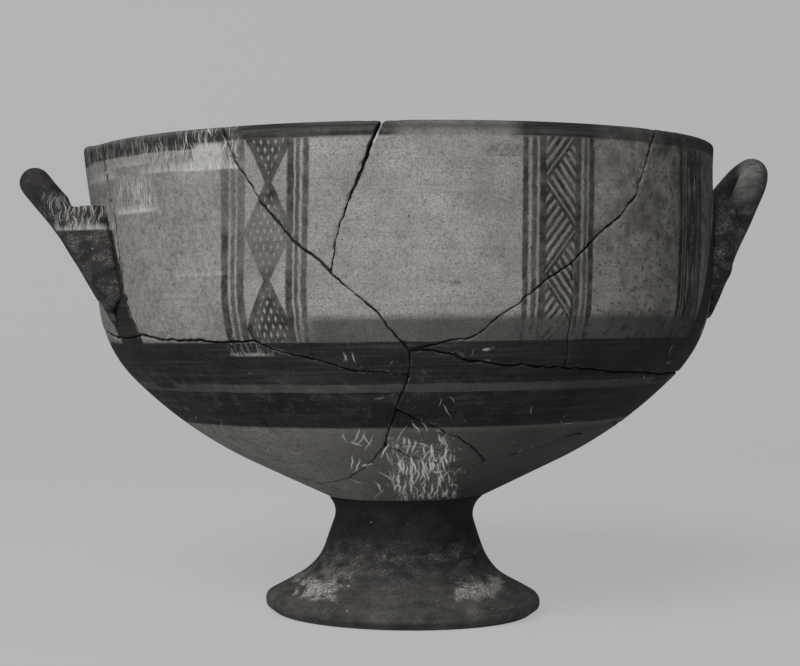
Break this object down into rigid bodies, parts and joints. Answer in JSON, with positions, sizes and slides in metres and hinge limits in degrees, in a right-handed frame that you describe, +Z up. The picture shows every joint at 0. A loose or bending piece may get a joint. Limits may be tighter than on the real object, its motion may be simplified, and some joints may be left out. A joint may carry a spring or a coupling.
{
  "type": "footed skyphos cup",
  "caption": "Deep two-handled clay drinking cup on a high hollow foot, painted in dark bands and hatched panels, broken and mended from sherds.",
  "frame": {"origin": "centre of the foot's flat resting ring", "axes": "+Z up, +X towards the right handle as pictured, -Y towards the front"},
  "size_m": [0.2553, 0.21, 0.1572],
  "materials": {
    "painted_clay": "matt fired clay, pale slip with dark painted bands",
    "dark_slip": "matt dark slip, worn",
    "adhesive": "dull old mending adhesive"
  },
  "bodies": {
    "root": {"floor_sherd": "painted_clay", "lower_left_sherd": "painted_clay", "lower_right_sherd": "painted_clay", "lower_splinter": "painted_clay", "left_panel_sherd": "painted_clay", "rim_wedge_sherd": "painted_clay", "centre_field_sherd": "painted_clay", "lower_panel_sherd": "painted_clay", "right_handle_sherd": "painted_clay", "left_handle_sherd": "painted_clay", "back_sherd": "painted_clay", "foot": "dark_slip", "left_handle": "dark_slip", "right_handle": "dark_slip", "mending_adhesive": "adhesive"}
  },
  "joints": []
}
